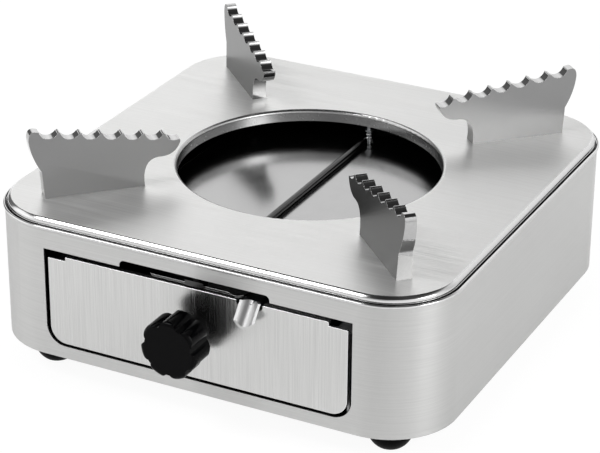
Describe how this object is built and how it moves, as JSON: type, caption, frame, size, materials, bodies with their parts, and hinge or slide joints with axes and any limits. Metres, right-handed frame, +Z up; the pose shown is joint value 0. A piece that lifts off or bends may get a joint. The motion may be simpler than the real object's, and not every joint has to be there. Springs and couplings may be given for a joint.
{
  "type": "alcohol stove",
  "caption": "Square sheet steel tabletop alcohol stove with toothed pot supports, a pull-out fuel drawer with a spout, and a swinging flame cover under the burner opening.",
  "frame": {"origin": "bottom centre of the whole, on the plane that the rubber feet stand on, knob included", "axes": "+Z up, -Y to the front with the drawer and the knob, +X to the right of someone who faces the front"},
  "size_m": [0.2418, 0.2658, 0.1218],
  "materials": {
    "wall_steel": "brushed along the band",
    "base_steel": "mill finish",
    "plate_steel": "fine brushed, polished edges",
    "support_steel": "satin, polished teeth",
    "front_steel": "brushed upright",
    "tray_steel": "mill finish",
    "cup_steel": "spun, bright",
    "cover_steel": "polished",
    "lever_steel": "polished",
    "pivot_steel": "turned",
    "spring_steel": "drawn wire",
    "fastener_zinc": "zinc plated",
    "foot_rubber": "matte",
    "knob_plastic": "satin moulded"
  },
  "bodies": {
    "stove": {"wall_band": "wall_steel", "base_plate": "base_steel", "top_plate": "plate_steel", "rim_screws": "fastener_zinc", "support_front_left": "support_steel", "support_front_right": "support_steel", "support_back_left": "support_steel", "support_back_right": "support_steel", "support_screws": "fastener_zinc", "rail_left": "base_steel", "rail_right": "base_steel", "rail_rivets": "fastener_zinc", "foot_front_left": "foot_rubber", "foot_front_right": "foot_rubber", "foot_back_left": "foot_rubber", "foot_back_right": "foot_rubber", "foot_screws": "fastener_zinc", "foot_nuts": "fastener_zinc", "pivot_pin": "pivot_steel", "pivot_spring": "spring_steel", "pivot_washer": "pivot_steel", "pivot_nut": "pivot_steel"},
    "drawer": {"drawer_front": "front_steel", "fuel_tray": "tray_steel", "fuel_cup": "cup_steel", "knob": "knob_plastic", "knob_stud": "fastener_zinc", "knob_washer": "fastener_zinc", "knob_nut": "fastener_zinc"},
    "flame_cover": {"cover_plate": "cover_steel", "lever_rod": "lever_steel"}
  },
  "joints": [
    {"name": "drawer_slide", "type": "slide", "parent": "stove", "child": "drawer", "axis": [0, -1, 0], "range_m": [0, 0.14]},
    {"name": "cover_swing", "type": "hinge", "parent": "stove", "child": "flame_cover", "pos_m": [0, 0.08195, 0.0702], "axis": [0, 0, 1], "range_deg": [-10.8, 10.8]}
  ]
}
